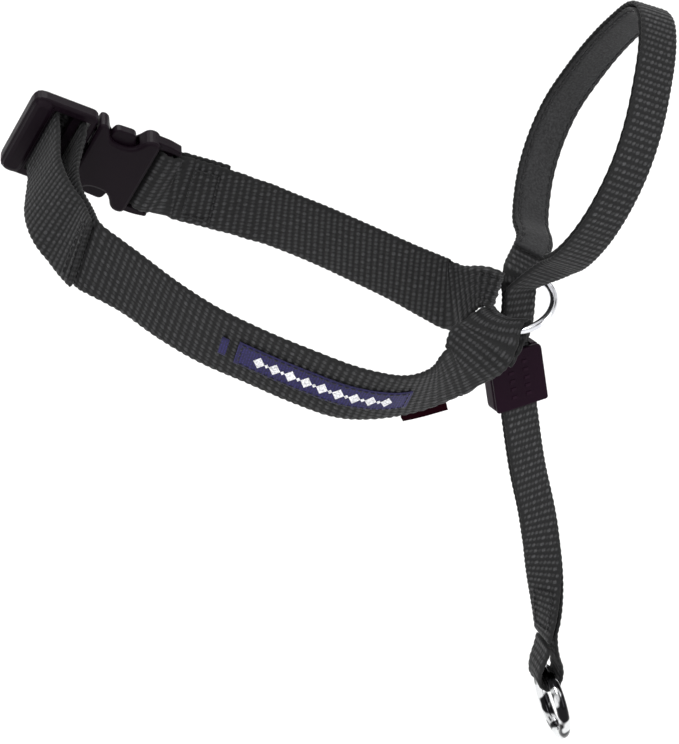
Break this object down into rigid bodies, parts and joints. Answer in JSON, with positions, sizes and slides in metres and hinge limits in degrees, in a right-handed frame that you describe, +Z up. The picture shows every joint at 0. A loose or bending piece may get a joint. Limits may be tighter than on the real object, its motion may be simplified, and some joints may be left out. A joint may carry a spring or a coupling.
{
  "type": "dog head halter",
  "caption": "Webbing collar with side-release buckle joined by a metal ring to a padded nose loop, sliding clamp and hanging lead strap with leash ring.",
  "frame": {"origin": "centre of the neck opening, level with the middle of the collar webbing", "axes": "+X the way the muzzle points, +Y the dog's left, +Z up, towards the top of the nose loop; the lead strap hangs along -Z"},
  "size_m": [0.1689, 0.0775, 0.1982],
  "materials": {
    "neck_webbing": "ribbed woven nylon",
    "nose_webbing": "ribbed woven nylon",
    "nose_lining": "soft brushed lining",
    "label_cloth": "woven satin label",
    "thread": "bonded nylon thread",
    "buckle_plastic": "satin moulded acetal",
    "clamp_plastic": "satin moulded acetal",
    "ring_metal": "polished nickel plate on steel wire"
  },
  "bodies": {
    "collar": {"neck_strap_far": "neck_webbing", "neck_strap_near": "neck_webbing", "strap_keeper": "clamp_plastic", "buckle_housing": "buckle_plastic", "woven_label": "label_cloth", "label_tab": "label_cloth", "label_stitching": "thread", "buckle_end_stitching": "thread", "junction_stitching": "thread"},
    "buckle_male": {"buckle_male_frame": "buckle_plastic", "neck_strap_adjuster_end": "neck_webbing", "tail_hem_stitching": "thread"},
    "arm_upper": {"release_arm_upper": "buckle_plastic"},
    "arm_lower": {"release_arm_lower": "buckle_plastic"},
    "centre_ring": {"centre_ring": "ring_metal"},
    "nose": {"nose_strap": "nose_webbing", "nose_pad_lining": "nose_lining", "nose_pad_stitching_front": "thread", "nose_pad_stitching_back": "thread", "lead_end_stitching": "thread"},
    "clamp": {"clamp_body": "clamp_plastic"},
    "lid": {"clamp_lid": "clamp_plastic"},
    "leash_ring": {"leash_ring": "ring_metal"}
  },
  "joints": [
    {"name": "buckle_pull_out", "type": "slide", "parent": "collar", "child": "buckle_male", "axis": [-0.8886, -0.1683, 0.4268], "range_m": [0, 0.02], "deforming": ["release_arm_upper", "release_arm_lower"]},
    {"name": "arm_upper_press", "type": "hinge", "parent": "buckle_male", "child": "arm_upper", "pos_m": [-0.05367, 0.0288, 0.02796], "axis": [-0.0487, 0.9596, 0.277], "range_deg": [0, 8], "stiffness_Nm_per_rad": 0.05},
    {"name": "arm_lower_press", "type": "hinge", "parent": "buckle_male", "child": "arm_lower", "pos_m": [-0.05788, 0.03087, 0.02004], "axis": [0.0487, -0.9596, -0.277], "range_deg": [0, 8], "stiffness_Nm_per_rad": 0.05},
    {"name": "centre_ring_tilt", "type": "hinge", "parent": "collar", "child": "centre_ring", "pos_m": [0.04873, -0.01574, -0.00513], "axis": [-0.7088, 0.6797, 0.1886], "range_deg": [-2, 8]},
    {"name": "nose_swing", "type": "hinge", "parent": "collar", "child": "nose", "pos_m": [0.0547, -0.0106, -0.0012], "axis": [0, -1, 0], "range_deg": [-4, 4]},
    {"name": "clamp_slide", "type": "slide", "parent": "nose", "child": "clamp", "axis": [0.1483, 0, -0.9889], "range_m": [0, 0.015]},
    {"name": "clamp_lid_open", "type": "hinge", "parent": "clamp", "child": "lid", "pos_m": [0.0561, -0.01237, -0.02847], "axis": [0.9017, 0.4108, 0.1352], "range_deg": [0, 100]},
    {"name": "leash_ring_swing", "type": "hinge", "parent": "nose", "child": "leash_ring", "pos_m": [0.0639, -0.01, -0.1055], "axis": [0.28, -0.96, 0], "range_deg": [-35, 35]}
  ]
}
